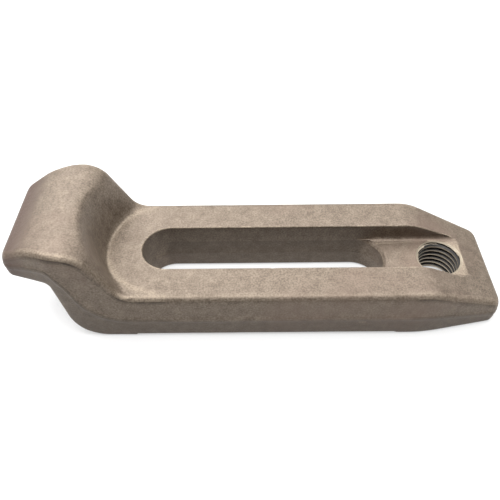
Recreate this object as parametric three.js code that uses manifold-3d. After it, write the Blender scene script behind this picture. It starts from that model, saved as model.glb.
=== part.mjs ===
// Gooseneck strap clamp for machine tables: a one-piece steel drop forging.
// A stud stands in the long slot, its nut presses on the flat around the slot, the raised nose bears on
// the workpiece, and a jack screw in the tapped heel carries the other end.
// Units are millimetres. X runs from nose to heel, Y across, Z up. The origin is the centre of the base.
import * as THREE from 'three';
import { mergeVertices } from 'three/addons/utils/BufferGeometryUtils.js';
import Module from 'manifold-3d';

const wasm = await Module();
wasm.setup();
const radians = THREE.MathUtils.degToRad;

// Overall sizes
const length = 120;
const width = 34.6; // across the die parting line
const thickness = 14.9; // of the bar
const draftAngle = radians(2.6);
const partingShare = 0.42; // height of the parting line, as a share of the section's height
const topEdgeRadius = 1.6;
const bottomEdgeRadius = 0.9;

// Nose
const clampingHeight = 19.5; // of the nose's flat underside, above the base
const noseReach = 10.7; // from the tip to the neck's front wall
const noseRise = 6.6; // from the underside to the top corner of the tip
const noseSlope = radians(20); // the top, from tip to crown
const crownSlope = radians(10.5); // the top, from crown to neck
const crownSetback = 11.4; // from the tip to the crown
const rampTop = 18.3; // from the tip to the ramp's upper corner
const rampAngle = radians(59.5);
const neckWallLean = radians(8); // the front wall, off vertical
const noseTipWidth = 25.8;
const noseTaper = radians(17.8);

// Slot, and the flat around its nose end that clears the nut and washer
const slotWidth = 14;
const noseToSlot = 36.6; // from the tip to the centre of the slot's round end
const nutClearanceRadius = 16.1;
const scoopAngle = radians(72.7);

// Heel
const heelSlope = radians(22.2);
const heelSlopeLength = 19.3;
const heelTaper = radians(11.5);
const recessDepth = 4.9;
const recessFillet = 0.9;

// Tapped hole for the jack screw, M12 fine
const tapDiameter = 12;
const tapPitch = 1.5;
const tapToHeel = 13.4;
const slotToTap = 21.7;
const countersinkDiameter = 12.5;

// Base: two bearing pads with a relieved stretch between them
const padRelief = 0.4;
const nosePadEnd = 28.3; // from the tip
const heelPadStart = 26; // from the heel end

// Corner radii of the side profile, and of the plan
const tipTopRadius = 4;
const tipBottomRadius = 1.8;
const crownRadius = 16;
const shoulderRadius = 4;
const rampFootRadius = 5.5;
const innerCornerRadius = 1.3;
const neckFootRadius = 9;
const heelBreakRadius = 12;
const heelEndRadius = 1.8;
const planCornerRadius = 2;

// Worked out from the sizes above
const tip = -length / 2;
const heel = length / 2;
const slotNoseX = tip + noseToSlot;
const tapX = heel - tapToHeel;
const slotHeelX = tapX - slotToTap;
const recessFloor = thickness - recessDepth;
const minorRadius = tapDiameter / 2 - 0.5413 * tapPitch; // ISO metric internal thread
const clear = 5; // how far cutting solids stand past the surfaces that they cut
const largestEdgeShare = 0.45; // of a thin section's height, taken by one rounded edge

// A corner of a side outline. Its radius rounds it.
const corner = (x, z, radius = 0) => ({ x, z, radius });

// An open path through the corners, with an arc tangent to both sides at each rounded one.
function roundedPath(corners) {
  const points = corners.map((c) => new THREE.Vector2(c.x, c.z));
  const path = new THREE.CurvePath();
  let from = points[0];
  for (let i = 1; i < points.length - 1; i++) {
    const back = points[i - 1].clone().sub(points[i]).normalize();
    const on = points[i + 1].clone().sub(points[i]).normalize();
    const half = Math.acos(THREE.MathUtils.clamp(back.dot(on), -1, 1)) / 2;
    const setback = corners[i].radius / Math.tan(half);
    const start = points[i].clone().addScaledVector(back, setback);
    const end = points[i].clone().addScaledVector(on, setback);
    if (from.distanceTo(start) > 1e-6) path.add(new THREE.LineCurve(from, start));
    if (setback > 0) path.add(arcBetween(start, end, points[i], corners[i].radius, half));
    from = end;
  }
  path.add(new THREE.LineCurve(from, points[points.length - 1]));
  return path;
}

// The arc of the given radius that leaves start and reaches end, rounding the vertex between them.
function arcBetween(start, end, vertex, radius, half) {
  const middle = start.clone().add(end).divideScalar(2).sub(vertex).normalize();
  const centre = vertex.clone().addScaledVector(middle, radius / Math.sin(half));
  const a = start.clone().sub(centre);
  const b = end.clone().sub(centre);
  return new THREE.EllipseCurve(
    centre.x, centre.y, radius, radius, a.angle(), b.angle(), a.cross(b) < 0,
  );
}

// The clamp's upper outline, from the middle of the tip to the middle of the heel's end face.
function topCorners() {
  const tipTop = corner(tip, clampingHeight + noseRise, tipTopRadius);
  const crown = corner(tip + crownSetback, 0, crownRadius);
  crown.z = tipTop.z + Math.tan(noseSlope) * crownSetback;
  const shoulder = corner(tip + rampTop, 0, shoulderRadius);
  shoulder.z = crown.z - Math.tan(crownSlope) * (shoulder.x - crown.x);
  const footX = shoulder.x + (shoulder.z - thickness) / Math.tan(rampAngle);
  const breakX = heel - heelSlopeLength;
  const heelHeight = thickness - Math.tan(heelSlope) * heelSlopeLength;
  return {
    tipTop, crown, shoulder,
    foot: corner(footX, thickness, rampFootRadius),
    heelBreak: corner(breakX, thickness, heelBreakRadius),
    heelTop: corner(heel, heelHeight, heelEndRadius),
  };
}

// Pairs of matching points along the upper and lower outlines, one pair for each section of the loft.
function stations() {
  const top = topCorners();
  const wallX = tip + noseReach;
  const footSpan = clampingHeight * Math.tan(neckWallLean);
  const under = corner(wallX, clampingHeight, innerCornerRadius);
  const neckFoot = corner(wallX + footSpan, 0, neckFootRadius);
  const tipMiddle = corner(tip, clampingHeight + noseRise / 2);
  const heelMiddle = corner(heel, top.heelTop.z / 2);
  const barStart = top.foot.x + 2 * rampFootRadius;
  const barEnd = top.heelBreak.x - heelBreakRadius * Math.tan(heelSlope / 2);
  const upper = roundedPath([
    tipMiddle, top.tipTop, top.crown, top.shoulder, top.foot, top.heelBreak, top.heelTop, heelMiddle,
  ]);
  const lower = roundedPath([
    tipMiddle, corner(tip, clampingHeight, tipBottomRadius), under, neckFoot,
    corner(heel, 0, heelEndRadius), heelMiddle,
  ]);
  // Stretches of the two outlines that run side by side: the nose, the neck, the bar and the heel.
  const stretches = [
    { upTo: top.crown.x, lowTo: under.x - innerCornerRadius, count: 15 },
    { upTo: barStart, lowTo: neckFoot.x + 2 * neckFootRadius, count: 30 },
    { upTo: barEnd, lowTo: barEnd, count: 2 },
    { upTo: Infinity, lowTo: Infinity, count: 16 },
  ];
  const pairs = [];
  let upperFrom = 0;
  let lowerFrom = 0;
  for (const { upTo, lowTo, count } of stretches) {
    const upperTo = shareAtX(upper, upTo);
    const lowerTo = shareAtX(lower, lowTo);
    for (let i = pairs.length ? 1 : 0; i <= count; i++) {
      pairs.push({
        top: upper.getPointAt(THREE.MathUtils.lerp(upperFrom, upperTo, i / count)),
        bottom: lower.getPointAt(THREE.MathUtils.lerp(lowerFrom, lowerTo, i / count)),
      });
    }
    upperFrom = upperTo;
    lowerFrom = lowerTo;
  }
  return pairs;
}

// How far along the path, from 0 to 1, it last passes x.
function shareAtX(path, x) {
  if (!Number.isFinite(x)) return 1;
  const steps = 2000;
  let share = 0;
  for (let i = 0; i <= steps; i++) {
    if (path.getPointAt(i / steps).x <= x) share = i / steps;
  }
  return share;
}

// Half the clamp's width in plan at x: parallel sides, then a taper and a round corner at each end.
function planHalfWidth(x) {
  const fromTip = Math.max(x - tip, 0);
  const fromHeel = Math.max(heel - x, 0);
  const nose = noseTipWidth / 2 + Math.tan(noseTaper) * fromTip;
  const tail = width / 2 - Math.tan(heelTaper) * (heelSlopeLength - fromHeel);
  const half = Math.min(width / 2, nose, tail);
  const reach = Math.max(planCornerRadius - Math.min(fromTip, fromHeel), 0);
  return half - planCornerRadius + Math.sqrt(planCornerRadius ** 2 - reach ** 2);
}

// Right-hand half of one section, from bottom to top: height above the lower outline, and how far the
// side lies inside the plan outline. The edges are rounded, and both halves of the side have draft.
function sectionSide(height) {
  const parting = partingShare * height;
  const low = Math.min(bottomEdgeRadius, largestEdgeShare * height);
  const high = Math.min(topEdgeRadius, largestEdgeShare * height);
  const lowInset = Math.tan(draftAngle) * parting;
  const highInset = Math.tan(draftAngle) * (height - parting);
  const side = [];
  const steps = 4;
  for (let i = 0; i <= steps; i++) {
    const angle = (i / steps) * Math.PI / 2;
    side.push([low * (1 - Math.cos(angle)), lowInset + low * (1 - Math.sin(angle))]);
  }
  side.push([parting, 0]);
  for (let i = steps; i >= 0; i--) {
    const angle = (i / steps) * Math.PI / 2;
    side.push([height - high * (1 - Math.cos(angle)), highInset + high * (1 - Math.sin(angle))]);
  }
  return side;
}

// The plain forging: sections lofted from tip to heel. Each end closes on a line across the end face.
function forgingBlank() {
  const rings = stations().map(({ top, bottom }) => {
    const rise = top.clone().sub(bottom);
    const height = rise.length();
    const half = sectionSide(height).map(([up, inset]) => {
      const at = bottom.clone().addScaledVector(rise, height > 1e-6 ? up / height : 0);
      const y = planHalfWidth(at.x) - inset;
      return new THREE.Vector3(at.x, y, at.y);
    });
    const mirrored = half.map((p) => new THREE.Vector3(p.x, -p.y, p.z)).reverse();
    return [...half, ...mirrored];
  });
  return solid(skin(rings));
}

// Triangles between neighbouring rings of points. Every ring has the same number of points.
function skin(rings) {
  const count = rings[0].length;
  const positions = rings.flat().flatMap((p) => [p.x, p.y, p.z]);
  const triangles = [];
  for (let r = 0; r < rings.length - 1; r++) {
    for (let i = 0; i < count; i++) {
      const j = (i + 1) % count;
      const [a, b, c, d] = [r * count + i, r * count + j, (r + 1) * count + j, (r + 1) * count + i];
      triangles.push(a, b, c, a, c, d);
    }
  }
  return indexed(positions, triangles);
}

function indexed(positions, triangles) {
  const geometry = new THREE.BufferGeometry();
  geometry.setAttribute('position', new THREE.Float32BufferAttribute(positions, 3));
  geometry.setIndex(triangles);
  return geometry;
}

// A closed three.js geometry as a manifold-3d solid.
function solid(geometry) {
  const plain = geometry.index ? geometry.toNonIndexed() : geometry.clone();
  plain.deleteAttribute('normal');
  plain.deleteAttribute('uv');
  const merged = mergeVertices(plain, 1e-4);
  return new wasm.Manifold(new wasm.Mesh({
    numProp: 3,
    vertProperties: merged.attributes.position.array,
    triVerts: new Uint32Array(merged.index.array),
  }));
}

function geometryOf(made) {
  const { vertProperties, triVerts } = made.getMesh();
  const geometry = indexed(Array.from(vertProperties), Array.from(triVerts));
  geometry.computeVertexNormals();
  return geometry;
}

// A solid of revolution about a vertical axis at x, from a profile of [radius, z] pairs.
function turned(profile, x, segments = 64) {
  const points = profile.map(([radius, z]) => new THREE.Vector2(radius, z));
  const geometry = new THREE.LatheGeometry(points, segments);
  geometry.rotateX(Math.PI / 2); // the lathe's Y axis becomes Z
  geometry.translate(x, 0, 0);
  return solid(geometry);
}

// Clears the neck round the slot's nose end, so that the nut and washer can turn.
function nutClearance() {
  const rise = clampingHeight + noseRise + crownSetback - thickness;
  const spread = rise / Math.tan(scoopAngle);
  return turned([
    [0, thickness],
    [nutClearanceRadius, thickness],
    [nutClearanceRadius + spread, thickness + rise],
    [0, thickness + rise],
  ], slotNoseX, 96);
}

// The slot for the stud, right through the bar.
function studSlot() {
  const radius = slotWidth / 2;
  const outline = new THREE.Shape();
  outline.absarc(slotNoseX, 0, radius, Math.PI / 2, (3 * Math.PI) / 2);
  outline.absarc(slotHeelX, 0, radius, -Math.PI / 2, Math.PI / 2);
  const depth = thickness + 2 * clear;
  const geometry = new THREE.ExtrudeGeometry(outline, { depth, bevelEnabled: false, curveSegments: 24 });
  geometry.translate(0, 0, -clear);
  return solid(geometry);
}

// The slot's upper part runs on past its round end, over the tapped hole and out of the heel's slope.
function heelRecess() {
  const half = slotWidth / 2;
  const high = thickness + clear;
  const section = new THREE.Shape();
  section.moveTo(-half, high);
  section.lineTo(-half, recessFloor + recessFillet);
  section.absarc(-half + recessFillet, recessFloor + recessFillet, recessFillet, Math.PI, 1.5 * Math.PI);
  section.lineTo(half - recessFillet, recessFloor);
  section.absarc(half - recessFillet, recessFloor + recessFillet, recessFillet, -Math.PI / 2, 0);
  section.lineTo(half, high);
  section.closePath();
  const depth = heel + clear - slotHeelX;
  const geometry = new THREE.ExtrudeGeometry(section, { depth, bevelEnabled: false, curveSegments: 5 });
  geometry.rotateX(Math.PI / 2); // the section's Y axis becomes Z
  geometry.rotateZ(Math.PI / 2); // and it is carried along X
  geometry.translate(slotHeelX, 0, 0);
  return solid(geometry);
}

// The shape that the tap cuts: an ISO thread, its crests a quarter of the pitch wide and its roots an
// eighth. The rows follow the helix, so each flank is one smooth band, and the two ends close on a point
// of the axis.
function tapSolid() {
  const columns = 48;
  const rowsPerTurn = 4;
  const rows = []; // [height at the start of the turn, radius]
  const bottom = -clear;
  const turns = Math.ceil((recessFloor + 2 * clear) / tapPitch);
  for (let turn = 0; turn < turns; turn++) {
    const z = bottom + turn * tapPitch;
    rows.push([z, minorRadius], [z + tapPitch / 4, minorRadius]);
    rows.push([z + (tapPitch * 9) / 16, tapDiameter / 2], [z + (tapPitch * 11) / 16, tapDiameter / 2]);
  }
  const positions = [];
  for (const [z, radius] of rows) {
    for (let i = 0; i <= columns; i++) {
      const angle = (2 * Math.PI * i) / columns;
      const height = z + (tapPitch * i) / columns;
      positions.push(radius * Math.cos(angle), radius * Math.sin(angle), height);
    }
  }
  const at = (row, column) => row * (columns + 1) + column;
  const last = rows.length - 1;
  const triangles = [];
  for (let row = 0; row < last; row++) {
    for (let i = 0; i < columns; i++) {
      triangles.push(at(row, i), at(row, i + 1), at(row + 1, i + 1));
      triangles.push(at(row, i), at(row + 1, i + 1), at(row + 1, i));
    }
  }
  const lowEdge = [];
  const highEdge = [];
  for (let i = 0; i <= columns; i++) {
    lowEdge.push(at(0, i));
    highEdge.push(at(last, i));
  }
  for (let row = rowsPerTurn - 1; row >= 0; row--) lowEdge.push(at(row, 0));
  for (let row = last - 1; row >= last - rowsPerTurn; row--) highEdge.push(at(row, columns));
  const lowPoint = positions.length / 3;
  positions.push(0, 0, rows[0][0] + tapPitch / 2, 0, 0, rows[last][0] + tapPitch / 2);
  for (let i = 0; i < lowEdge.length - 1; i++) {
    triangles.push(lowPoint, lowEdge[i + 1], lowEdge[i]);
    triangles.push(lowPoint + 1, highEdge[i], highEdge[i + 1]);
  }
  const geometry = indexed(positions, triangles);
  geometry.translate(tapX, 0, 0);
  return solid(geometry);
}

// A cone at each mouth of the tapped hole.
function countersinks() {
  const wide = countersinkDiameter / 2;
  const deep = wide - minorRadius;
  const upper = turned([
    [0, recessFloor - deep],
    [minorRadius, recessFloor - deep],
    [wide, recessFloor],
    [wide, recessFloor + clear],
    [0, recessFloor + clear],
  ], tapX, 48);
  const lower = turned([[0, -clear], [wide, -clear], [wide, 0], [minorRadius, deep], [0, deep]], tapX, 48);
  return upper.add(lower);
}

// The middle of the base stands off the table, so the clamp bears on a pad at each end.
function baseRelief() {
  const from = tip + nosePadEnd;
  const to = heel - heelPadStart;
  const geometry = new THREE.BoxGeometry(to - from, width + 2 * clear, 2 * padRelief);
  geometry.translate((from + to) / 2, 0, 0);
  return solid(geometry);
}

function clampBody() {
  return forgingBlank()
    .subtract(nutClearance())
    .subtract(studSlot())
    .subtract(heelRecess())
    .subtract(baseRelief())
    .subtract(tapSolid())
    .subtract(countersinks());
}

const blastedSteel = new THREE.MeshStandardMaterial({ color: 0x9c8d7c, roughness: 0.55, metalness: 0.85 });

const clamp = new THREE.Group();
const body = new THREE.Mesh(geometryOf(clampBody()), blastedSteel);
body.name = 'clamp_body';
clamp.add(body);

export default clamp;
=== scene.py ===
import math

import bmesh
import bpy
import numpy as np
from mathutils import Matrix, Vector


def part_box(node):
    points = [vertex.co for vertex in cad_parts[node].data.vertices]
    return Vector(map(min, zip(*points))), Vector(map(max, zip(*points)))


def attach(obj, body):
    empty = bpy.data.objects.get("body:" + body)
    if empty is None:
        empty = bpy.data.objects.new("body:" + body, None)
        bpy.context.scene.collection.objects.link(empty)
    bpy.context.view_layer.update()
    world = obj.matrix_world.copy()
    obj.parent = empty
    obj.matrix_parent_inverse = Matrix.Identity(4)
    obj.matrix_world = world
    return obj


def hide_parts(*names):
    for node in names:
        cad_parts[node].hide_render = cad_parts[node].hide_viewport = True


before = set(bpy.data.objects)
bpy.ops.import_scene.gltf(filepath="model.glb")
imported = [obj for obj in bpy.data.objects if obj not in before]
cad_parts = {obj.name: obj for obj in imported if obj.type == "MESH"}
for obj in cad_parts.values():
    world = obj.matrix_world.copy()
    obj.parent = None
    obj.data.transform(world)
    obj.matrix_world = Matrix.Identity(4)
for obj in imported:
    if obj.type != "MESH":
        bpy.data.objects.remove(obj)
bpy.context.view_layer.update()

# Gooseneck strap clamp, a drop forging with a slot, a recessed heel and a tapped hole.
# Shapes are worked out in millimetres, in the frame's axes, and put into the mesh in metres.
mm = 0.001
cadLow, cadHigh = (np.array(corner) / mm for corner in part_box("clamp_body"))

cameraView = {
    "target": (-2.99, 12.15, 0.4),  # the point of the base plane in the middle of the view
    "distance": 159.0,
    "tilt": 47.49,  # degrees below the horizon
    "turn": -0.58,  # degrees off the Y axis
    "roll": -0.97,
    "lens": 39.46,
    "nearest": 5,  # nothing closer than this is drawn
}


def makeCamera(view):
    tilt, turn, roll = (math.radians(view[key]) for key in ("tilt", "turn", "roll"))
    ahead = Vector((math.sin(turn) * math.cos(tilt), math.cos(turn) * math.cos(tilt), -math.sin(tilt)))
    level = Vector((math.cos(turn), -math.sin(turn), 0))
    above = level.cross(ahead)
    right = level * math.cos(roll) + above * math.sin(roll)
    up = above * math.cos(roll) - level * math.sin(roll)
    place = (Vector(view["target"]) - view["distance"] * ahead) * mm
    data = bpy.data.cameras.new("camera")
    data.lens = view["lens"]
    data.clip_start = view["nearest"] * mm
    camera = bpy.data.objects.new("camera", data)
    turned = Matrix((right, up, -ahead)).transposed().to_4x4()
    camera.matrix_world = Matrix.Translation(place) @ turned
    bpy.context.scene.collection.objects.link(camera)
    bpy.context.scene.camera = camera


makeCamera(cameraView)
print("camera placed")


def gridFaces(rows, columns):
    # quads of a grid whose columns close into a ring; row r, column c is vertex r * columns + c
    row, column = np.meshgrid(np.arange(rows - 1), np.arange(columns), indexing="ij")
    here = row * columns + column
    beside = row * columns + (column + 1) % columns
    return np.stack([here, beside, beside + columns, here + columns], -1).reshape(-1, 4)


def endCaps(rows, columns):
    # one face over the first row of such a grid and one over the last
    last = (rows - 1) * columns
    return [np.arange(columns)[::-1].tolist(), np.arange(last, last + columns).tolist()]


def makePiece(name, points, quads, caps):
    mesh = bpy.data.meshes.new(name)
    mesh.from_pydata((points * mm).tolist(), [], quads.tolist() + caps)
    mesh.validate()
    piece = bpy.data.objects.new(name, mesh)
    bpy.context.scene.collection.objects.link(piece)
    return piece


def pointsAndNormals(mesh):
    # in metres, as the mesh holds them
    points, normals = np.empty(len(mesh.vertices) * 3), np.empty(len(mesh.vertices) * 3)
    mesh.vertices.foreach_get("co", points)
    mesh.vertex_normals.foreach_get("vector", normals)
    return points.reshape(-1, 3), normals.reshape(-1, 3)


def mergeDoubles(piece):
    shell = bmesh.new()
    shell.from_mesh(piece.data)
    bmesh.ops.remove_doubles(shell, verts=shell.verts, dist=1e-7)
    bmesh.ops.dissolve_degenerate(shell, edges=shell.edges, dist=1e-8)
    shell.to_mesh(piece.data)
    shell.free()
    return piece


def roundedOutline(corners, step=0.05):
    # an outline in x and z through the corners; each corner with a radius is cut by its tangent arc,
    # which starts radius / tan(half the corner's angle) before the corner and is swept by equal angles
    corners = np.array(corners, float)
    points, radii = corners[:, :2], corners[:, 2]
    pieces = [points[:1]]
    for i in range(1, len(points) - 1):
        back = points[i - 1] - points[i]
        on = points[i + 1] - points[i]
        back, on = back / np.linalg.norm(back), on / np.linalg.norm(on)
        half = math.acos(np.clip(back @ on, -1, 1)) / 2
        middle = (back + on) / np.linalg.norm(back + on)
        centre = points[i] + middle * radii[i] / math.sin(half)
        start = points[i] + back * radii[i] / math.tan(half) - centre
        sweep = math.pi - 2 * half
        side = np.sign(back[0] * on[1] - back[1] * on[0])
        angle = -side * np.linspace(0, sweep, max(3, int(radii[i] * sweep / step)))[:, None]
        across = np.array([-start[1], start[0]])
        pieces.append(centre + start * np.cos(angle) + across * np.sin(angle))
    pieces.append(points[-1:])
    return np.concatenate(pieces)


def alongOutline(outline, lengths):
    # the points at the given distances along the outline
    run = np.append(0, np.cumsum(np.linalg.norm(np.diff(outline, axis=0), axis=1)))
    return np.stack([np.interp(lengths, run, outline[:, k]) for k in (0, 1)], -1)


def lengthAtX(outline, x):
    # how far along the outline it last passes x; without an x, where its last arc ends
    run = np.append(0, np.cumsum(np.linalg.norm(np.diff(outline, axis=0), axis=1)))
    if x is None:
        return run[-2]
    fine = np.linspace(0, run[-1], 40000)
    return fine[np.interp(fine, run, outline[:, 0]) <= x][-1]


def smoothStep(value):
    value = np.clip(value, 0, 1)
    return value * value * (3 - 2 * value)


def softMin(a, b, blend):
    # the smaller of a and b, with the corner between them rounded over a height of blend
    share = np.clip(0.5 + 0.5 * (b - a) / blend, 0, 1)
    return b * (1 - share) + a * share - blend * share * (1 - share)


def waviness(points, seed, shortest, longest, count=28):
    # a smooth uneven field between 0 and 1: the mean of sine waves with random directions and phases
    random = np.random.default_rng(seed)
    waves = random.normal(size=(count, 3))
    waves /= np.linalg.norm(waves, axis=1, keepdims=True)
    waves *= 2 * math.pi / random.uniform(shortest, longest, (count, 1))
    phases = random.uniform(0, 2 * math.pi, count)
    field = np.sin(points @ waves.T + phases).mean(1) * math.sqrt(count / 2)
    return np.clip(0.5 + 0.25 * field, 0, 1)


forging = {
    "thickness": 14.9,
    "partingShare": 0.42,  # height of the trimmed flash, as a share of the section's height
    "flashHeight": 1.3,
    "flashStand": 0.14,
    "flashFoot": 0.25,  # the side stops this share of the flash's height below it
    # how high up the flash and how far out, both as shares
    "flashProfile": ((0, 0.55), (0.15, 0.95), (0.5, 1.0), (0.85, 0.9), (1.0, 0.5), (1.15, 0.0)),
    "draft": 2.2,  # degrees, above the flash line and below it
    "lowDraft": 3.6,
    "topEdgeRadius": 1.9,
    "bottomEdgeRadius": 0.9,
    "clampingHeight": 19.5,
    "noseReach": 10.7,
    "noseRise": 6.6,
    "noseSlope": 20,
    "crownSlope": 10.5,
    "crownSetback": 11.4,
    "rampTop": 19.1,
    "rampAngle": 61.7,
    "neckWallLean": 8,
    "noseTipWidth": 25.8,
    "noseTaper": 17.8,
    "heelSlope": 22.2,
    "heelSlopeLength": 19.3,
    "heelTaper": 11.5,
    "planCornerRadius": 2.0,
    "browSetback": 6.2,  # where the nose's slope eases off, and how far it stands proud there
    "browRise": 0.55,
    "browRadius": 9,
    "tipTopRadius": 3.0,
    "tipBottomRadius": 1.8,
    "crownRadius": 19,
    "shoulderRadius": 6.6,
    "rampFootRadius": 5.5,
    "innerCornerRadius": 1.6,
    "neckFootRadius": 9,
    "heelBreakRadius": 12,
    "heelEndRadius": 1.8,
    "padRelief": 0.4,
    "padStep": 0.5,
    "padFade": 3,
    "nosePadEnd": 28.3,
    "heelPadStart": 26,
    "scoopRadius": 16.4,  # round the slot's nose end, clear of the washer
    "scoopOffset": 0.7,  # the scoop sits this far off the middle
    "scoopReach": 4.5,  # from the scoop's foot out to its soft rim
    "scoopFoot": 0.22,  # rounding of the foot, as a share of the reach
    "rippleX": 15.4,  # a faint ridge across the nose, measured from the tip
    "rippleHeight": 0.09,
    "rippleWidth": 1.0,
    "unevenDepth": 0.07,
    "waves": ((0.65, 3, 7, 22), (0.35, 4, 2.2, 5)),  # share, seed, shortest and longest wave
    "nicks": [
        # place, radius and depth of the small dents on edges and faces
        ((33.0, -16.9, 14.2), 0.8, 0.35),
        ((46.8, -15.6, 12.3), 0.9, 0.3),
        ((35.6, 7.2, 14.9), 0.6, 0.3),
        ((12.0, -16.9, 14.3), 0.6, 0.22),
        ((-21.5, -17.0, 13.8), 0.7, 0.25),
        ((-45.2, -9.5, 28.9), 0.7, 0.12),
        ((-8.0, 16.9, 14.4), 0.7, 0.2),
        ((25.0, -17.1, 6.0), 0.7, 0.15),
        ((-58.0, 4.0, 25.8), 0.8, 0.2),
        ((3.0, -7.2, 14.8), 0.5, 0.2),
    ],
}
slot = {
    "width": 14,
    "noseToSlot": 36.6,  # from the tip to the centre of the slot's round end
    "lipRadius": 0.45,
    "lowLipRadius": 0.3,
    "trimHeight": 5.0,  # where the punched wall shows its shear line
    "trimStand": 0.03,
    "recessDepth": 4.9,
    "recessFillet": 1.1,
    "rimRadius": 1.1,  # where the recess floor turns down into the slot
}
tap = {
    "diameter": 12,
    "pitch": 1.5,
    "toHeel": 13.4,
    "toSlot": 21.7,
    "countersink": 12,
    "lowerBreak": 0.35,  # the edge broken at the base
}

tipX, heelX = cadLow[0], cadHigh[0]
halfWidth = cadHigh[1]
top = forging["thickness"]
slotNoseX = tipX + slot["noseToSlot"]
tapX = heelX - tap["toHeel"]
slotHeelX = tapX - tap["toSlot"]
recessFloor = top - slot["recessDepth"]


def tangent(degrees):
    return math.tan(math.radians(degrees))


def upperOutline(f):
    tipTopZ = f["clampingHeight"] + f["noseRise"]
    crownX = tipX + f["crownSetback"]
    crownZ = tipTopZ + tangent(f["noseSlope"]) * f["crownSetback"]
    browX = tipX + f["browSetback"]
    browZ = tipTopZ + tangent(f["noseSlope"]) * f["browSetback"] + f["browRise"]
    shoulderX = tipX + f["rampTop"]
    shoulderZ = crownZ - tangent(f["crownSlope"]) * (shoulderX - crownX)
    footX = shoulderX + (shoulderZ - top) / tangent(f["rampAngle"])
    heelZ = top - tangent(f["heelSlope"]) * f["heelSlopeLength"]
    return roundedOutline([
        (tipX, f["clampingHeight"] + f["noseRise"] / 2, 0),
        (tipX, tipTopZ - f["browRise"], f["tipTopRadius"]),
        (browX, browZ, f["browRadius"]),
        (crownX, crownZ, f["crownRadius"]),
        (shoulderX, shoulderZ, f["shoulderRadius"]),
        (footX, top, f["rampFootRadius"]),
        (heelX - f["heelSlopeLength"], top, f["heelBreakRadius"]),
        (heelX, heelZ, f["heelEndRadius"]),
        (heelX, heelZ / 2, 0),
    ])


def lowerOutline(f):
    wallX = tipX + f["noseReach"]
    footX = wallX + f["clampingHeight"] * tangent(f["neckWallLean"])
    heelZ = top - tangent(f["heelSlope"]) * f["heelSlopeLength"]
    return roundedOutline([
        (tipX, f["clampingHeight"] + f["noseRise"] / 2, 0),
        (tipX, f["clampingHeight"], f["tipBottomRadius"]),
        (wallX, f["clampingHeight"], f["innerCornerRadius"]),
        (footX, 0, f["neckFootRadius"]),
        (heelX, 0, f["heelEndRadius"]),
        (heelX, heelZ / 2, 0),
    ])


def matchedOutlines(f):
    # points of the two outlines in pairs, one pair for each section: from where the tip's flat face ends
    # to where the heel's begins, the outlines are split into the nose, the neck, the bar and the heel, and
    # each stretch is shared out evenly
    upper, lower = upperOutline(f), lowerOutline(f)
    wallX = tipX + f["noseReach"]
    stretches = [
        (tipX + f["crownSetback"], wallX - f["innerCornerRadius"], 48),
        (slotNoseX + 0.5, slotNoseX + 0.5, 120),
        (heelX - f["heelSlopeLength"] - 4, heelX - f["heelSlopeLength"] - 4, 70),
        (None, None, 66),
    ]
    shares = []
    upperFrom, lowerFrom = (np.linalg.norm(outline[1] - outline[0]) for outline in (upper, lower))
    for upperX, lowerX, count in stretches:
        upperTo, lowerTo = lengthAtX(upper, upperX), lengthAtX(lower, lowerX)
        share = np.linspace(0, 1, count + 1)[(1 if shares else 0):, None]
        shares.append(np.hstack([upperFrom + share * (upperTo - upperFrom),
                                 lowerFrom + share * (lowerTo - lowerFrom)]))
        upperFrom, lowerFrom = upperTo, lowerTo
    lengths = np.concatenate(shares)
    return alongOutline(upper, lengths[:, 0]), alongOutline(lower, lengths[:, 1])


def planHalfWidth(x, f):
    # parallel sides, then a straight taper and a round corner towards each end
    fromTip, fromHeel = np.maximum(x - tipX, 0), np.maximum(heelX - x, 0)
    nose = f["noseTipWidth"] / 2 + tangent(f["noseTaper"]) * fromTip
    tail = halfWidth - tangent(f["heelTaper"]) * (f["heelSlopeLength"] - fromHeel)
    half = softMin(softMin(nose, tail, 0.8), halfWidth, 0.8)
    radius = f["planCornerRadius"]
    reach = np.maximum(radius - np.minimum(fromTip, fromHeel), 0)
    return np.minimum(half, halfWidth) - radius + np.sqrt(np.maximum(radius**2 - reach**2, 0))


def sectionSide(height, f):
    # one side of a section, from the bottom face's edge to the top face's: the height above the lower
    # outline and the inset from the plan outline. Both halves lean in by the draft from the flash line,
    # the flash stands out as a low round-cornered band, and quarter circles round the edges.
    parting = f["partingShare"] * height
    band = np.minimum(f["flashHeight"], 0.2 * height)
    low = np.minimum(f["bottomEdgeRadius"], 0.4 * height)
    high = np.minimum(f["topEdgeRadius"], 0.4 * height)
    lean, lowLean = tangent(f["draft"]), tangent(f["lowDraft"])
    stand = np.minimum(f["flashStand"], 0.05 * height)
    quarter = np.linspace(0, math.pi / 2, 7)
    ups, ins = [], []

    def put(up, inset):
        ups.append(up)
        ins.append(inset)

    for angle in quarter:
        put(low * (1 - np.cos(angle)), stand + lowLean * parting + low * (1 - np.sin(angle)))
    bandFoot = f["flashFoot"] * band
    for share in np.linspace(0, 1, 7)[1:]:
        up = low + share * (parting - bandFoot - low)
        put(up, stand + lowLean * (parting - up))
    for up, out in f["flashProfile"]:
        put(parting + up * band, stand * (1 - out))
    edge, bandTop = height - high, up * band
    for share in np.linspace(0, 1, 8)[1:-1]:
        up = parting + bandTop + share * (edge - parting - bandTop)
        put(up, stand + lean * (up - parting))
    for angle in quarter[::-1]:
        put(height - high * (1 - np.cos(angle)), stand + lean * (edge - parting) + high * (1 - np.sin(angle)))
    return np.stack(ups, -1), np.stack(ins, -1)


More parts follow.
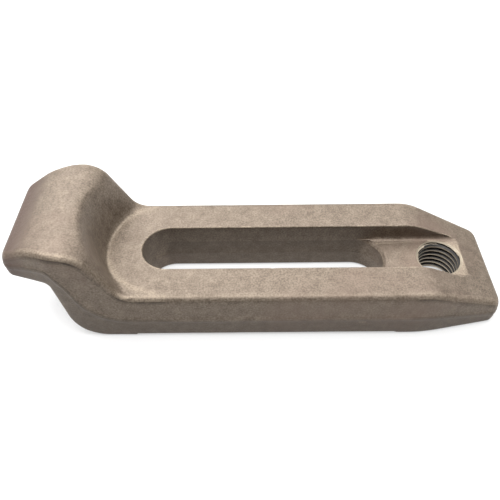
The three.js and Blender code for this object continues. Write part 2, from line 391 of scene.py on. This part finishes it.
def scoopedHeight(x, y, z, f):
    # what rises above the bar is scaled by a share of how far out it lies from the slot's nose end: none
    # inside the scoop's radius, and one less the cube of what is left of the reach beyond it, so the wall
    # stands steep at its foot and lies down softly at its rim. A low bell-shaped ripple crosses the nose.
    ripple = f["rippleHeight"] * np.exp(-((x - tipX - f["rippleX"]) / f["rippleWidth"])**2)
    rise = np.maximum(z + ripple - top, 1e-3)
    out = (np.hypot(x - slotNoseX, y - f["scoopOffset"]) - f["scoopRadius"]) / f["scoopReach"]
    out = np.minimum(-softMin(-out, np.zeros_like(out), f["scoopFoot"]), 1)
    return np.where(z > top, top + rise * (1 - (1 - out)**3), z)


def forgingSurface(f):
    # one parameter runs from tip to heel through the matched outlines, the other once round the section
    upper, lower = matchedOutlines(f)
    rise = upper - lower
    height = np.linalg.norm(rise, axis=1)
    ups, ins = sectionSide(height, f)
    share = ups / height[:, None]
    x = lower[:, :1] + rise[:, :1] * share
    z = lower[:, 1:] + rise[:, 1:] * share
    y = planHalfWidth(x, f) - ins
    under, over = 16, 36  # columns across half the bottom face and half the top
    bottomY = y[:, :1] * np.linspace(0, 1, under + 1)[:-1]
    topY = y[:, -1:] * np.linspace(1, 0, over + 1)[1:]
    x = np.hstack([np.repeat(lower[:, :1], under, 1), x, np.repeat(upper[:, :1], over, 1)])
    z = np.hstack([np.repeat(lower[:, 1:], under, 1), z, np.repeat(upper[:, 1:], over, 1)])
    y = np.hstack([bottomY, y, topY])
    upperHalf = np.arange(x.shape[1]) > x.shape[1] * 0.45  # the columns above the flash
    z = np.where(upperHalf[None, :], scoopedHeight(x, y, z, f), z)
    # the base is raised between its two pads, less and less up the sides
    relief = smoothStep((x - tipX - f["nosePadEnd"]) / f["padStep"] + 0.5) \
        * smoothStep((heelX - f["heelPadStart"] - x) / f["padStep"] + 0.5)
    z = z + f["padRelief"] * relief * np.clip(1 - z / f["padFade"], 0, 1)
    x, z = (np.hstack([value, value[:, -2:0:-1]]) for value in (x, z))
    y = np.hstack([y, -y[:, -2:0:-1]])
    points = np.stack([x, y, z], -1)
    rows, columns = x.shape
    return points.reshape(-1, 3), rows, columns


def wearSurface(piece, depth, waves):
    # sinks each point along its normal by a smooth random share of the depth, so nothing grows. The
    # share fades out within half a millimetre of the flat ends.
    mesh = piece.data
    points, normals = pointsAndNormals(mesh)
    sink = sum(share * waviness(points / mm, seed, shortest, longest)
               for share, seed, shortest, longest in waves)
    sink *= np.clip(np.minimum(points[:, 0] / mm - tipX, heelX - points[:, 0] / mm) / 0.5, 0, 1)
    points = np.clip(points - normals * (sink * depth * mm)[:, None], cadLow * mm, cadHigh * mm)
    mesh.vertices.foreach_set("co", points.ravel())
    mesh.update()


def dentSurface(piece, nicks):
    # pushes points in along their normals by a bell-shaped share of each nick's depth
    mesh = piece.data
    points, normals = pointsAndNormals(mesh)
    points = points / mm
    places = np.array([place for place, radius, depth in nicks])
    radii = np.array([radius for place, radius, depth in nicks])
    depths = np.array([depth for place, radius, depth in nicks])
    apart = np.linalg.norm(points[:, None] - places, axis=2) / radii
    sink = (depths * np.exp(-apart**2 * 2)).sum(1)
    mesh.vertices.foreach_set("co", ((points - normals * sink[:, None]) * mm).ravel())
    mesh.update()


def slotCutter(s, f):
    # closed outlines stacked from below the base to above the nose. Below the recess floor an outline is
    # the slot with two round ends; above it the heel end runs on as a channel out of the heel. Lips flare
    # where a wall meets the base or the top, along a quarter circle cut short.
    half = s["width"] / 2
    crest = upperOutline(f)
    bar = crest[crest[:, 0] > slotNoseX - 2]
    turn = np.radians(np.linspace(90, 270, 49))
    run = np.linspace(0, 1, 62)[1:-1]
    heelRun = np.linspace(0, 1, 121)
    leftX, leftY = np.cos(turn), np.sin(turn)
    beyond = 4  # how far the channel runs on past the heel
    fillIn = 3  # the fillet starts this far past the slot's end, and takes as long to reach its full size
    wallShare = 0.44  # of the heel run, for each of the channel's walls
    phi = np.radians(-90 + 180 * heelRun)
    alongWall = np.minimum(np.minimum(heelRun, 1 - heelRun) / wallShare, 1)
    acrossEnd = np.clip((heelRun - wallShare) / (1 - 2 * wallShare), 0, 1) * 2 - 1
    channelX = slotHeelX + alongWall * (heelX + beyond - slotHeelX)
    fillShare = smoothStep((channelX - slotHeelX - fillIn) / fillIn)

    def ring(width, heelWidth, channel):
        # width for the slot's straight sides and nose end; heelWidth for each point of the heel end
        x = [slotNoseX + width * leftX, slotNoseX + run * (slotHeelX - slotNoseX)]
        y = [width * leftY, np.full(run.shape, -width)]
        if channel:
            x.append(channelX)
            y.append(acrossEnd * heelWidth)
        else:
            x.append(slotHeelX + heelWidth * np.cos(phi))
            y.append(heelWidth * np.sin(phi))
        x.append(slotHeelX + run * (slotNoseX - slotHeelX))
        y.append(np.full(run.shape, width))
        return np.concatenate(x), np.concatenate(y)

    rows = []

    def level(z, width=half, heelWidth=None, channel=False):
        heelWidth = np.full(heelRun.shape, width) if heelWidth is None else heelWidth
        x, y = ring(width, heelWidth, channel)
        rows.append(np.stack([x, y, np.broadcast_to(z, x.shape)], -1))

    low, lip = s["lowLipRadius"], s["lipRadius"]
    base = f["padRelief"]
    # below the base the cutter widens, clear of the lip
    level(-3.0, half + low * 0.6 + 1)
    level(base - 1.0, half + low * 0.6 + 0.5)
    for angle in np.radians((65, 45, 22, 0)):
        level(base + low - low * math.sin(angle), half + low * (1 - math.cos(angle)))
    trim, stand = s["trimHeight"], s["trimStand"]
    for z, out in ((trim - 0.5, 0), (trim - 0.15, -stand), (trim + 0.1, -stand), (trim + 0.25, 0.3 * stand)):
        level(z, half + out)
    # the rim round the slot's heel end, a quarter circle cut short, widest straight ahead
    rim = s["rimRadius"]
    ahead = smoothStep((np.cos(phi) - 0.2) / 0.6)
    for angle in np.radians((0, 20, 40, 60)):
        level(recessFloor - rim + rim * math.sin(angle), half, half + rim * (1 - math.cos(angle)) * ahead)
    level(recessFloor, half, half + rim * 0.62 * ahead)
    fillet = s["recessFillet"]
    for angle in np.radians((0, 22, 45, 68, 90)):
        inset = fillet * (1 - math.sin(angle)) * fillShare
        level(recessFloor + fillet * (1 - math.cos(angle)), half, half - inset, True)
    x, _ = ring(half, np.full(heelRun.shape, half), True)
    lipTop = np.maximum(np.interp(x, bar[:, 0], bar[:, 1]), recessFloor + fillet + lip + 0.1)
    lipStart = lipTop - lip
    for share in (0.33, 0.67, 1):
        level(recessFloor + fillet + share * (lipStart - recessFloor - fillet), half, None, True)
    for angle in np.radians((22, 45, 65)):
        level(lipStart + lip * math.sin(angle), half + lip * (1 - math.cos(angle)), None, True)
    # above the lip it widens too, and goes on past the nose
    wide = half + lip * (1 - math.cos(math.radians(65))) + 2.2
    level(lipTop + 1.0, wide, None, True)
    level(40.0, wide, None, True)
    count, columns = len(rows), len(rows[0])
    quads = gridFaces(count, columns)
    return mergeDoubles(makePiece("slot_cutter", np.concatenate(rows), quads, endCaps(count, columns)))


def crestRadius(t):
    return t["diameter"] / 2 - 0.5413 * t["pitch"]  # ISO metric internal thread


def tapCutter(t):
    # a grid whose rows climb one pitch in each turn, so every row is one line of the helix and the seam
    # joins a row to the one a turn higher. The radius is the thread's at that row, or the countersink's
    # cone where that is wider. Beyond both mouths the rows are flattened together and capped.
    # Of each pitch, a quarter is the crest, the climb and the fall take 0.3125 each and an eighth is root.
    phases = np.array([0, 0.125, 0.25, 0.354, 0.458, 0.5625, 0.6875, 0.79, 0.896])
    columns, perTurn = 112, len(phases)
    flank = 0.3125
    pitch, major, minor = t["pitch"], t["diameter"] / 2, crestRadius(t)
    wide = t["countersink"] / 2
    lowZ, highZ = -1.0, recessFloor + 0.6
    turns = math.ceil((highZ - lowZ) / pitch) + 2
    phase = np.tile(phases, turns)
    start = lowZ - pitch + (np.repeat(np.arange(turns), perTurn) + phase) * pitch
    climb = np.clip((phase - 0.25) / flank, 0, 1)
    fall = np.clip((phase - 0.6875) / flank, 0, 1)
    depth = minor + (major - minor) * np.minimum(climb, 1 - fall)
    share = np.arange(columns) / columns
    z = np.clip(start[:, None] + pitch * share, lowZ, highZ)
    cone = np.maximum(wide + z - recessFloor, minor + t["lowerBreak"] - z)
    radius = np.minimum(np.maximum(depth[:, None], cone), wide + 0.2)
    angle = 2 * math.pi * share
    points = np.stack([tapX + radius * np.cos(angle), radius * np.sin(angle), z], -1).reshape(-1, 3)
    rows = len(start)
    row, column = np.meshgrid(np.arange(rows - 1), np.arange(columns), indexing="ij")
    here = row * columns + column
    besideRow = np.where(column == columns - 1, row + perTurn, row)
    beside = besideRow * columns + (column + 1) % columns
    quads = np.stack([here, beside, beside + columns, here + columns], -1)
    quads = quads[besideRow + 1 < rows]
    return mergeDoubles(makePiece("tap_cutter", points, quads, endCaps(rows, columns)))


def cutAway(piece, cutter):
    # takes the cutter's solid out of the piece, and drops the cutter
    cut = piece.modifiers.new("cut", "BOOLEAN")
    cut.operation = "DIFFERENCE"
    cut.solver = "EXACT"
    cut.object = cutter
    graph = bpy.context.evaluated_depsgraph_get()
    mesh = bpy.data.meshes.new_from_object(piece.evaluated_get(graph))
    piece.modifiers.clear()
    piece.data = mesh
    bpy.data.objects.remove(cutter)


finish = {
    "flatArea": 1.5,  # square millimetres; a face larger than this is flat
    "edgeFrom": 0.08,  # one over the radius at which a bulge starts to get a painted highlight where it looks up and painted shade where it looks aside
    "edgeRange": 0.5,
    "shadeRange": 0.35,
    "sideShade": 0.38,  # painted shade below the flash line and in the slot
    "footBandHighlight": 0.6,  # a painted highlight: the bright band on the flat along the scoop's foot
    "footPlace": 0.7,
    "footWidth": 0.8,
    "coneDepth": 0.9,  # of the countersink, from the recess floor
    "crestReach": 0.07,  # outward from the thread's crests
    "sharpAngle": 32,
}


def faceShape(mesh):
    # for each face its bend, its middle in millimetres and the way it faces. A point's bend is the mean
    # over its edges of twice the drop below the tangent plane over the edge's length squared, so 1 / radius
    # in millimetres where the surface bulges and less than nothing where it is hollow; a face takes the
    # mean of its points, or nothing if it is large and so flat.
    count, faces = len(mesh.vertices), len(mesh.polygons)
    points, normals = pointsAndNormals(mesh)
    points = points / mm
    ends = np.empty(len(mesh.edges) * 2, np.int32)
    mesh.edges.foreach_get("vertices", ends)
    ends = ends.reshape(-1, 2)
    start, stop = np.vstack([ends, ends[:, ::-1]]).T
    step = points[stop] - points[start]
    length = np.maximum(np.linalg.norm(step, axis=1), 0.05)
    drop = -2 * (step * normals[start]).sum(1) / length**2
    bend = np.bincount(start, drop * length, count) / np.maximum(np.bincount(start, length, count), 1e-6)
    corners, sizes, areas = np.empty(len(mesh.loops), np.int32), np.empty(faces, np.int32), np.empty(faces)
    middles, facing = np.empty(faces * 3), np.empty(faces * 3)
    mesh.loops.foreach_get("vertex_index", corners)
    mesh.polygons.foreach_get("loop_total", sizes)
    mesh.polygons.foreach_get("area", areas)
    mesh.polygons.foreach_get("center", middles)
    mesh.polygons.foreach_get("normal", facing)
    owner = np.repeat(np.arange(faces), sizes)
    faceBend = np.bincount(owner, bend[corners], faces) / sizes
    faceBend[areas > finish["flatArea"] * mm**2] = 0
    return faceBend, middles.reshape(-1, 3) / mm, facing.reshape(-1, 3)


def markSurface(mesh, f, s, t, look):
    # four numbers for each face, for the steel's finish to read. "edge" is a painted highlight on the bulge
    # of faces that look up, and a painted highlight in a bright band on the flat along the scoop's foot.
    # "shade" is painted shade on the bulge of faces that look aside or down across the bar, and some more
    # below the flash and in the slot. "bore" is 1 inside the tapped hole, where the finish paints shade, and
    # "crest" is 1 there on the thread's crests and the countersink, which are lighter machined steel with a
    # painted highlight.
    bend, middles, facing = faceShape(mesh)
    x, y, z = middles.T
    up = smoothStep((facing[:, 2] - 0.3) / 0.3)
    aside = (1 - up) * (1 - smoothStep((np.abs(facing[:, 0]) - 0.2) / 0.3))
    fromAxis = np.hypot(x - tapX, y)
    bore = (fromAxis < t["countersink"] / 2) & (np.abs(z - recessFloor) > 1e-4)
    crest = fromAxis < crestRadius(t) + look["crestReach"]
    cone = (facing[:, 2] > 0.45) & (z > recessFloor - look["coneDepth"])
    inSlot = (np.abs(y) < s["width"] / 2 + 0.3) & (z < recessFloor - 0.3)
    # painted shade on faces below the flash line, which look a little down, and on the slot's walls
    low = np.maximum(smoothStep((0.01 - facing[:, 2]) / 0.05), inSlot) * look["sideShade"]
    fromFoot = np.hypot(x - slotNoseX, y - f["scoopOffset"]) - f["scoopRadius"]
    # painted highlight: a bright band on the flat along the scoop's foot
    paintedFootBand = np.exp(-((fromFoot + look["footPlace"]) / look["footWidth"])**2) * (x < slotNoseX - 2)
    marks = {
        "edge": np.maximum(smoothStep((bend - look["edgeFrom"]) / look["edgeRange"]),
                           paintedFootBand * look["footBandHighlight"]) * up,
        "shade": np.maximum(smoothStep((bend - look["edgeFrom"]) / look["shadeRange"]), low) * aside,
        "bore": bore,
        "crest": bore & (crest | cone),
    }
    for name, values in marks.items():
        layer = mesh.attributes.new(name, "FLOAT", "FACE")
        layer.data.foreach_set("value", values.astype(np.float32))


def makeClamp():
    points, rows, columns = forgingSurface(forging)
    piece = makePiece("forged_clamp", points, gridFaces(rows, columns), endCaps(rows, columns))
    wearSurface(piece, forging["unevenDepth"], forging["waves"])
    print("forging made,", len(piece.data.vertices), "points")
    cutAway(piece, slotCutter(slot, forging))
    print("slot and recess cut,", len(piece.data.vertices), "points")
    cutAway(piece, tapCutter(tap))
    mergeDoubles(piece)
    dentSurface(piece, forging["nicks"])
    print("hole tapped,", len(piece.data.vertices), "points")
    piece.data.shade_smooth()
    piece.data.set_sharp_from_angle(angle=math.radians(finish["sharpAngle"]))
    markSurface(piece.data, forging, slot, tap, finish)
    return piece


steel = {
    "tone": (0.147, 0.115, 0.086, 1),
    "lightTone": (0.225, 0.18, 0.138, 1),
    "darkTone": (0.092, 0.068, 0.049, 1),
    "toneStops": (0.36, 0.5, 0.66),  # where the speckle is dark, plain and light
    # painted highlight on bulges that look up and on the band along the scoop's foot
    "highlightTone": (0.29, 0.235, 0.175, 1),
    # painted shade on bulges that look aside or down, below the flash and in the slot
    "shadeTone": (0.045, 0.034, 0.026, 1),
    "tipTone": (0.105, 0.07, 0.055, 1),
    "tipToneFrom": -0.0525,  # the tip's darker, redder tone begins here along X, and is full here
    "tipToneTo": -0.0575,
    "rustTone": (0.158, 0.109, 0.084, 1),
    "rustShare": 0.5,
    # painted shade: the tapped hole's inside near black
    "boreShadeTone": (0.01, 0.008, 0.006, 1),
    # the thread's crests and the countersink: lighter machined steel with a painted highlight
    "crestHighlightTone": (0.4, 0.34, 0.26, 1),
    "metallic": 0.5,
    "roughness": 0.54,
    "roughnessSpread": 0.1,
    "boreRoughness": 0.42,
    "grainScale": 2300,
    "grainDepth": 0.00008,
    "pitScale": 700,
    "blotchScale": 420,
    "blotchShare": 0.3,  # of the tone's speckle, the rest is grain
    "rustScale": 38,
}


def node(tree, kind, place, **values):
    made = tree.nodes.new(kind)
    made.location = place
    for name, value in values.items():
        setattr(made, name, value)
    return made


def noise(tree, where, place, scale, detail=2.0):
    texture = node(tree, "ShaderNodeTexNoise", place)
    texture.inputs["Scale"].default_value = scale
    texture.inputs["Detail"].default_value = detail
    tree.links.new(where, texture.inputs["Vector"])
    return texture.outputs["Fac"]


def remap(tree, value, place, low, high, toLow=0.0, toHigh=1.0):
    scaled = node(tree, "ShaderNodeMapRange", place)
    for name, number in (("From Min", low), ("From Max", high), ("To Min", toLow), ("To Max", toHigh)):
        scaled.inputs[name].default_value = number
    tree.links.new(value, scaled.inputs["Value"])
    return scaled.outputs["Result"]


def blend(tree, share, first, second, place):
    # mixes two colours; either may be a fixed tone or a socket
    mixed = node(tree, "ShaderNodeMix", place, data_type="RGBA")
    tree.links.new(share, mixed.inputs["Factor"])
    for socket, colour in ((mixed.inputs[6], first), (mixed.inputs[7], second)):
        if isinstance(colour, tuple):
            socket.default_value = colour
        else:
            tree.links.new(colour, socket)
    return mixed.outputs[2]


def product(tree, first, second, place):
    times = node(tree, "ShaderNodeMath", place, operation="MULTIPLY")
    tree.links.new(first, times.inputs[0])
    tree.links.new(second, times.inputs[1])
    return times.outputs[0]


def bump(tree, height, below, place, strength, distance):
    lifted = node(tree, "ShaderNodeBump", place)
    lifted.inputs["Strength"].default_value = strength
    lifted.inputs["Distance"].default_value = distance
    tree.links.new(height, lifted.inputs["Height"])
    if below:
        tree.links.new(below, lifted.inputs["Normal"])
    return lifted.outputs["Normal"]


def attribute(tree, name, place):
    return node(tree, "ShaderNodeAttribute", place, attribute_name=name).outputs["Fac"]


def blastedSteel(look):
    material = bpy.data.materials.new("blasted_steel")
    material.use_nodes = True
    tree = material.node_tree
    tree.nodes.clear()
    link = tree.links.new
    out = node(tree, "ShaderNodeOutputMaterial", (1500, 0))
    shader = node(tree, "ShaderNodeBsdfPrincipled", (1200, 0))
    shader.inputs["Metallic"].default_value = look["metallic"]
    link(shader.outputs["BSDF"], out.inputs["Surface"])
    where = node(tree, "ShaderNodeTexCoord", (-1500, 0)).outputs["Object"]
    grain = noise(tree, where, (-1200, 0), look["grainScale"], 3)
    pits = noise(tree, where, (-1200, -250), look["pitScale"])
    blotch = noise(tree, where, (-1200, 250), look["blotchScale"], 4)
    rustPatch = noise(tree, where, (-1200, 500), look["rustScale"], 3)
    # "edge" marks where a highlight is painted, "shade" where shade is painted
    edge = attribute(tree, "edge", (-1200, -500))
    shade = attribute(tree, "shade", (-1200, -700))
    bore = attribute(tree, "bore", (-1200, -900))
    crest = attribute(tree, "crest", (-1200, -1100))
    along = node(tree, "ShaderNodeSeparateXYZ", (-1200, 750))
    link(where, along.inputs["Vector"])
    # tone: grain and blotches, rust patches and the darker, redder tip, a painted highlight on edges, painted
    # shade on others, then the thread with painted shade and a painted highlight
    speck = node(tree, "ShaderNodeMix", (-900, 100), data_type="FLOAT")
    speck.inputs["Factor"].default_value = look["blotchShare"]
    link(grain, speck.inputs["A"])
    link(blotch, speck.inputs["B"])
    tones = node(tree, "ShaderNodeValToRGB", (-700, 100))
    ramp = tones.color_ramp
    dark, plain, light = look["toneStops"]
    ramp.elements[0].position, ramp.elements[0].color = dark, look["darkTone"]
    ramp.elements[1].position, ramp.elements[1].color = light, look["lightTone"]
    ramp.elements.new(plain).color = look["tone"]
    link(speck.outputs["Result"], tones.inputs["Fac"])
    rustShare = remap(tree, rustPatch, (-700, 400), 0.52, 0.72, 0, look["rustShare"])
    rusty = blend(tree, rustShare, tones.outputs["Color"], look["rustTone"], (-400, 200))
    # darker and redder towards the tip
    tipShare = remap(tree, along.outputs["X"], (-700, 750), look["tipToneFrom"], look["tipToneTo"])
    scaled = blend(tree, tipShare, rusty, look["tipTone"], (-250, 300))
    # painted highlight on bulges that look up
    highlightShare = product(tree, edge, remap(tree, grain, (-700, -650), 0.35, 0.6, 0.3, 1.0), (-400, -500))
    highlighted = blend(tree, highlightShare, scaled, look["highlightTone"], (-100, 150))
    # painted shade
    shadeShare = product(tree, shade, remap(tree, pits, (-700, -900), 0.3, 0.6, 0.7, 1.0), (-400, -800))
    shaded = blend(tree, shadeShare, highlighted, look["shadeTone"], (200, 150))
    # the hole painted near black as shade, its crests and countersink lighter with a painted highlight
    threaded = blend(tree, crest, look["boreShadeTone"], look["crestHighlightTone"], (200, -350))
    finished = blend(tree, bore, shaded, threaded, (500, 150))
    link(finished, shader.inputs["Base Color"])
    rough = remap(tree, grain, (-100, -150), 0.3, 0.7, look["roughness"] - look["roughnessSpread"],
                  look["roughness"] + look["roughnessSpread"])
    turned = node(tree, "ShaderNodeMix", (300, -150), data_type="FLOAT")
    turned.inputs["B"].default_value = look["boreRoughness"]
    link(bore, turned.inputs["Factor"])
    link(rough, turned.inputs["A"])
    link(turned.outputs["Result"], shader.inputs["Roughness"])
    pitted = bump(tree, pits, None, (500, -500), 0.5, look["grainDepth"] * 2)
    grained = bump(tree, grain, pitted, (800, -400), 0.6, look["grainDepth"])
    link(grained, shader.inputs["Normal"])
    return material


clamp = makeClamp()
clamp.data.materials.clear()
clamp.data.materials.append(blastedSteel(steel))
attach(clamp, "root")
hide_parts("clamp_body")
print("clamp finished")

studio = {
    "floorSize": 3.0,
    "floorTone": (0.33, 0.33, 0.33, 1),
    "floorGlowTone": (1.0, 1.0, 1.0, 1),
    "floorGlow": 0.54,  # the floor is a light table
    "skyTone": (0.9, 0.9, 0.9, 1),
    "lamps": [
        # name, place, width, depth, watts; each faces the clamp
        ("overhead_softbox", (-0.02, -0.16, 0.8), 0.5, 0.3, 6.8),
        ("upper_left_softbox", (-0.3, 0.15, 0.75), 0.5, 0.5, 3.8),
        ("back_softbox", (0.14, 0.55, 0.55), 0.9, 0.5, 4.9),
        ("back_left_softbox", (-0.28, 0.5, 0.52), 0.45, 0.5, 2.8),
        ("right_fill", (0.55, 0.1, 0.6), 0.5, 0.5, 3.1),
        ("left_fill", (-0.6, 0.05, 0.55), 0.4, 0.4, 1.7),
        ("low_back_left", (-0.52, 0.52, 0.26), 0.5, 0.25, 0.9),
    ],
}


def makeStudio(look):
    size = look["floorSize"] / 2
    corners = [(-size, -size, 0), (size, -size, 0), (size, size, 0), (-size, size, 0)]
    mesh = bpy.data.meshes.new("floor")
    mesh.from_pydata(corners, [], [(0, 1, 2, 3)])
    floor = bpy.data.objects.new("floor", mesh)
    bpy.context.scene.collection.objects.link(floor)
    material = bpy.data.materials.new("pale_floor")
    material.use_nodes = True
    shader = material.node_tree.nodes["Principled BSDF"]
    shader.inputs["Base Color"].default_value = look["floorTone"]
    shader.inputs["Roughness"].default_value = 0.9
    shader.inputs["Emission Color"].default_value = look["floorGlowTone"]
    shader.inputs["Emission Strength"].default_value = look["floorGlow"]
    mesh.materials.append(material)
    for name, place, width, depth, watts in look["lamps"]:
        data = bpy.data.lights.new(name, "AREA")
        data.shape = "RECTANGLE"
        data.size, data.size_y, data.energy = width, depth, watts
        lamp = bpy.data.objects.new(name, data)
        lamp.location = place
        lamp.rotation_euler = (-Vector(place)).to_track_quat("-Z", "Y").to_euler()
        bpy.context.scene.collection.objects.link(lamp)
    world = bpy.data.worlds.new("studio")
    world.use_nodes = True
    # a pale backdrop to look at, which lights nothing
    sky = world.node_tree.nodes["Background"]
    sky.inputs["Color"].default_value = look["skyTone"]
    rays = world.node_tree.nodes.new("ShaderNodeLightPath")
    world.node_tree.links.new(rays.outputs["Is Camera Ray"], sky.inputs["Strength"])
    bpy.context.scene.world = world


makeStudio(studio)
bpy.context.scene.view_settings.view_transform = "Standard"
print("studio set")
